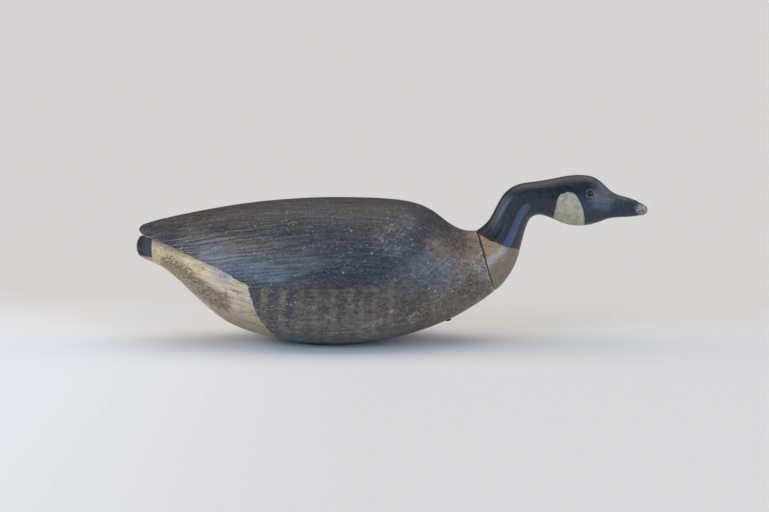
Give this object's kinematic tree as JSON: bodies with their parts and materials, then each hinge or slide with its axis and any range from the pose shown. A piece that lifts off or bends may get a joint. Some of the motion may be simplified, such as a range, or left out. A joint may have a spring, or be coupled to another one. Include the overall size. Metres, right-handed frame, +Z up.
{
  "type": "goose decoy",
  "caption": "Carved and painted wooden goose decoy with a forward-reaching head, bead eyes, overlapping wing tips and a line tack under the breast.",
  "frame": {"origin": "middle of the small flat under the body that the decoy rests on", "axes": "+X along the body towards the bill, +Y to the goose's left, +Z up"},
  "size_m": [0.7412, 0.2506, 0.2423],
  "materials": {
    "painted_body": "satin",
    "painted_head": "satin",
    "eye_glass": "gloss",
    "tack_iron": "rough"
  },
  "bodies": {
    "root": {"body": "painted_body", "head_neck": "painted_head", "eye_left": "eye_glass", "eye_right": "eye_glass", "line_tie_tack": "tack_iron"}
  },
  "joints": []
}
